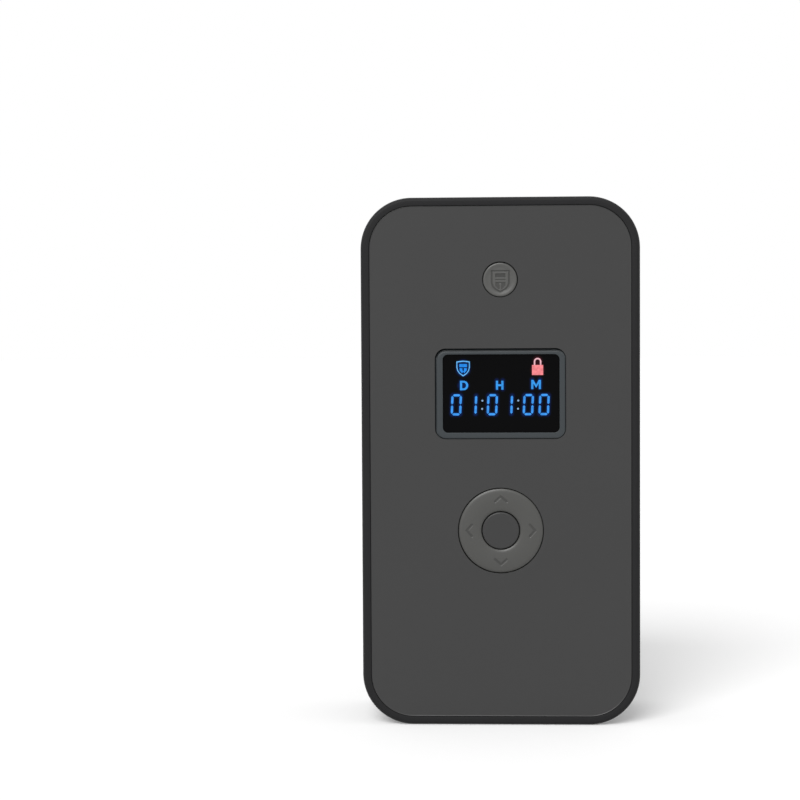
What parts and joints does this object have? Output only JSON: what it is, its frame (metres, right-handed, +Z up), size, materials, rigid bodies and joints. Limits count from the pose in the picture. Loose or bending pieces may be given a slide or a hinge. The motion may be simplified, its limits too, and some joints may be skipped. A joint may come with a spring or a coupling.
{
  "type": "timed lock container",
  "caption": "Upright phone-size lock box with rounded corners: a lift-off lid with timer display, round keys and a motor-driven double bolt closes a shallow tub.",
  "frame": {"origin": "centre of the bounding box on the plane of the bottom end, where the upright container stands", "axes": "+X to the right seen from the face, +Y from the face to the back, +Z up along the length"},
  "size_m": [0.1, 0.0466, 0.19],
  "materials": {
    "shell_black": "fine spark-eroded matte texture",
    "plate_grey": "satin charcoal with a polished bevel",
    "bezel_slate": "smooth satin",
    "key_grey": "fine satin, warm grey",
    "centre_grey": "fine satin",
    "display_black": "glossy black window",
    "display_frame": "moulded white",
    "inner_black": "moulded, smooth",
    "board_green": "solder mask",
    "chip_black": "moulded epoxy",
    "connector_white": "moulded nylon",
    "battery_foil": "embossed pouch foil",
    "lead_red": "PVC insulation",
    "steel": "zinc plated",
    "screw_steel": "zinc plated",
    "port_steel": "drawn shell",
    "brass": "turned",
    "acetal": "natural acetal",
    "rubber_black": "moulded rubber",
    "mat_rubber": "ribbed rubber"
  },
  "bodies": {
    "container": {"container_shell": "shell_black", "cavity_mat": "mat_rubber", "lower_hasp": "steel", "upper_hasp": "steel", "hasp_screws": "screw_steel", "rubber_feet": "rubber_black"},
    "lid": {"lid_shell": "shell_black", "face_plate": "plate_grey", "display_bezel": "bezel_slate", "display_window": "display_black", "display_module": "display_frame", "main_board": "board_green", "board_screws": "screw_steel", "control_chips": "chip_black", "board_connectors": "connector_white", "buzzer": "chip_black", "charge_port": "port_steel", "key_deck": "inner_black", "key_switches": "port_steel", "battery": "battery_foil", "battery_leads": "lead_red", "lid_cover": "inner_black", "cover_screws": "screw_steel", "boltwork_base": "inner_black", "base_screws": "screw_steel", "bolt_guides": "acetal", "guide_screws": "screw_steel", "motor": "port_steel", "motor_clamp": "steel", "clamp_screws": "screw_steel", "motor_leads": "lead_red", "wheel_post": "steel", "post_clip": "steel", "position_switch": "chip_black"},
    "worm": {"worm": "brass", "worm_shaft": "steel"},
    "drive_gear": {"drive_gear": "acetal"},
    "upper_bolt": {"upper_bolt": "steel"},
    "lower_bolt": {"lower_bolt": "steel"},
    "mode_button": {"mode_button": "key_grey", "mode_cap": "key_grey", "mode_plunger": "connector_white"},
    "centre_button": {"centre_button": "centre_grey", "centre_plunger": "connector_white"},
    "pad_carrier": {"pad_carrier": "acetal"},
    "direction_pad": {"direction_pad": "key_grey", "pad_cap": "key_grey", "pad_plungers": "connector_white"}
  },
  "joints": [
    {"name": "lid_lift", "type": "slide", "parent": "container", "child": "lid", "axis": [0, -1, 0], "range_m": [0, 0.06]},
    {"name": "upper_bolt_slide", "type": "slide", "parent": "lid", "child": "upper_bolt", "axis": [0, 0, 1], "range_m": [0, 0.004]},
    {"name": "lower_bolt_slide", "type": "slide", "parent": "lid", "child": "lower_bolt", "axis": [0, 0, -1], "range_m": [0, 0.004]},
    {"name": "gear_turn", "type": "hinge", "parent": "lid", "child": "drive_gear", "pos_m": [0, -0.0065, 0.095], "axis": [0, 1, 0], "range_deg": [0, 38.2]},
    {"name": "worm_turn", "type": "hinge", "parent": "lid", "child": "worm", "pos_m": [0.0144, -0.0065, 0.095], "axis": [0, 0, 1], "range_deg": [0, 1069.53]},
    {"name": "mode_press", "type": "slide", "parent": "lid", "child": "mode_button", "axis": [0, 1, 0], "range_m": [0, 0.0005], "stiffness_N_per_m": 1500},
    {"name": "centre_press", "type": "slide", "parent": "lid", "child": "centre_button", "axis": [0, 1, 0], "range_m": [0, 0.0005], "stiffness_N_per_m": 1500},
    {"name": "pad_tilt_up_down", "type": "hinge", "parent": "lid", "child": "pad_carrier", "pos_m": [0, -0.0163, 0.0704], "axis": [1, 0, 0], "range_deg": [-1.2, 1.2], "stiffness_Nm_per_rad": 0.8},
    {"name": "pad_tilt_left_right", "type": "hinge", "parent": "pad_carrier", "child": "direction_pad", "pos_m": [0, -0.0163, 0.0704], "axis": [0, 0, 1], "range_deg": [-1.2, 1.2], "stiffness_Nm_per_rad": 0.8}
  ],
  "couplings": [
    {"joint": "lower_bolt_slide", "follows": "upper_bolt_slide", "ratio": 1},
    {"joint": "gear_turn", "follows": "upper_bolt_slide", "rad_per_m": 166.67},
    {"joint": "worm_turn", "follows": "upper_bolt_slide", "rad_per_m": 4666.7}
  ]
}
